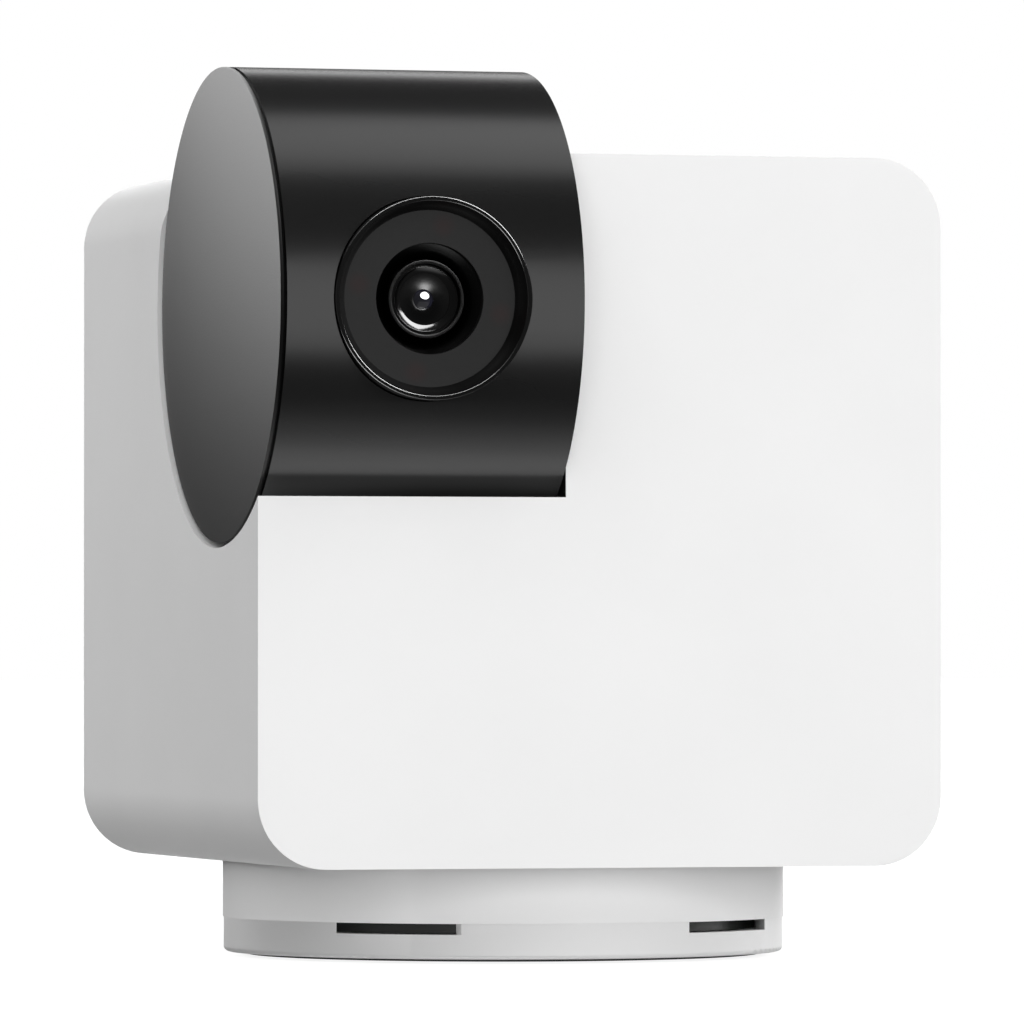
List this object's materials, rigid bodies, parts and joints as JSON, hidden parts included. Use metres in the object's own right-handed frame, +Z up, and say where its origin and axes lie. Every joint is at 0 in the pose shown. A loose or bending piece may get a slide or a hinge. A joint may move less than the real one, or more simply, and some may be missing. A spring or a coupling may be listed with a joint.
{
  "type": "pet camera",
  "caption": "Pan and tilt indoor camera: a white cube turning on a round base, with a black barrel that tilts in a corner notch and carries the lens",
  "frame": {"origin": "on the table under the pan axis, at the middle of the rubber foot pad's underside", "axes": "+Z up along the pan axis, -Y the way the front face and the lens look at rest, +X to the right seen from the front"},
  "size_m": [0.0666, 0.0761, 0.084],
  "materials": {
    "white_shell": "fine satin moulded plastic",
    "black_barrel": "satin black",
    "dark_cap": "fine matt dark grey",
    "gloss_black": "polished black",
    "dark_window": "infrared-passing dark plastic",
    "black_inner": "matt black",
    "lens_glass": "coated glass",
    "sensor": "sensor cover",
    "led_lens": "dark red lens",
    "rubber": "soft matt rubber",
    "steel": "zinc-plated steel",
    "brass": "sintered bronze",
    "gear_plastic": "natural acetal",
    "inner_plastic": "plain moulded plastic",
    "circuit_board": "dark solder mask",
    "antenna_film": "flexible circuit film",
    "lead": "soft black jacket"
  },
  "bodies": {
    "base": {"base_foot": "white_shell", "base_collar": "white_shell", "foot_pad": "rubber", "base_screws": "steel", "pan_spindle": "inner_plastic", "spindle_screws": "steel", "thrust_washer": "gear_plastic", "pan_sun_gear": "gear_plastic", "spindle_clip": "steel", "base_board": "circuit_board", "usb_port": "steel", "usb_tongue": "black_inner", "power_lead_lower": "lead"},
    "housing": {"body_shell": "white_shell", "rear_cover": "white_shell", "cover_screws": "steel", "pan_motor": "steel", "pan_motor_screws": "steel", "tilt_bracket": "inner_plastic", "bracket_screws": "steel", "inner_bushing": "brass", "outer_bushing": "brass", "tilt_motor": "steel", "tilt_motor_screws": "steel", "main_board": "circuit_board", "board_screws": "steel", "shield_can": "steel", "reset_switch": "black_inner", "microphone": "steel", "mic_gasket": "rubber", "speaker": "black_inner", "wifi_antenna": "antenna_film", "power_lead_upper": "lead", "camera_lead_inner": "lead"},
    "barrel": {"barrel_shell": "black_barrel", "end_cap": "dark_cap", "trunnion_hub": "black_inner", "hub_screws": "steel", "tilt_gear": "gear_plastic", "trunnion_clip": "steel", "lens_bezel": "gloss_black", "bezel_screws": "steel", "lens_window": "dark_window", "infrared_leds": "led_lens", "infrared_board": "circuit_board", "lens_hood": "black_inner", "lens_tube": "black_inner", "lens_retainer": "gloss_black", "front_element": "lens_glass", "lens_holder": "black_inner", "image_sensor": "sensor", "sensor_board": "circuit_board", "sensor_screws": "steel", "camera_lead_outer": "lead"},
    "pan_drive": {"pan_pinion": "gear_plastic"},
    "tilt_drive": {"tilt_pinion": "gear_plastic"},
    "button": {"reset_button": "white_shell"}
  },
  "joints": [
    {"name": "pan", "type": "hinge", "parent": "base", "child": "housing", "pos_m": [0, 0, 0.0143], "axis": [0, 0, 1], "range_deg": [-175, 175]},
    {"name": "tilt", "type": "hinge", "parent": "housing", "child": "barrel", "pos_m": [0, -0.018, 0.0617], "axis": [-1, 0, 0], "range_deg": [-20, 70]},
    {"name": "pan_pinion_turn", "type": "hinge", "parent": "housing", "child": "pan_drive", "pos_m": [-0.01299, 0.0075, 0.0143], "axis": [0, 0, 1], "range_deg": [-700, 700]},
    {"name": "tilt_pinion_turn", "type": "hinge", "parent": "housing", "child": "tilt_drive", "pos_m": [0.004, -0.00951, 0.05321], "axis": [-1, 0, 0], "range_deg": [-210, 60]},
    {"name": "reset_press", "type": "slide", "parent": "housing", "child": "button", "axis": [0, -1, 0], "range_m": [0, 0.0006], "stiffness_N_per_m": 400, "springref_m": -0.0002}
  ],
  "couplings": [
    {"joint": "pan_pinion_turn", "follows": "pan", "ratio": 4},
    {"joint": "tilt_pinion_turn", "follows": "tilt", "ratio": -3}
  ]
}
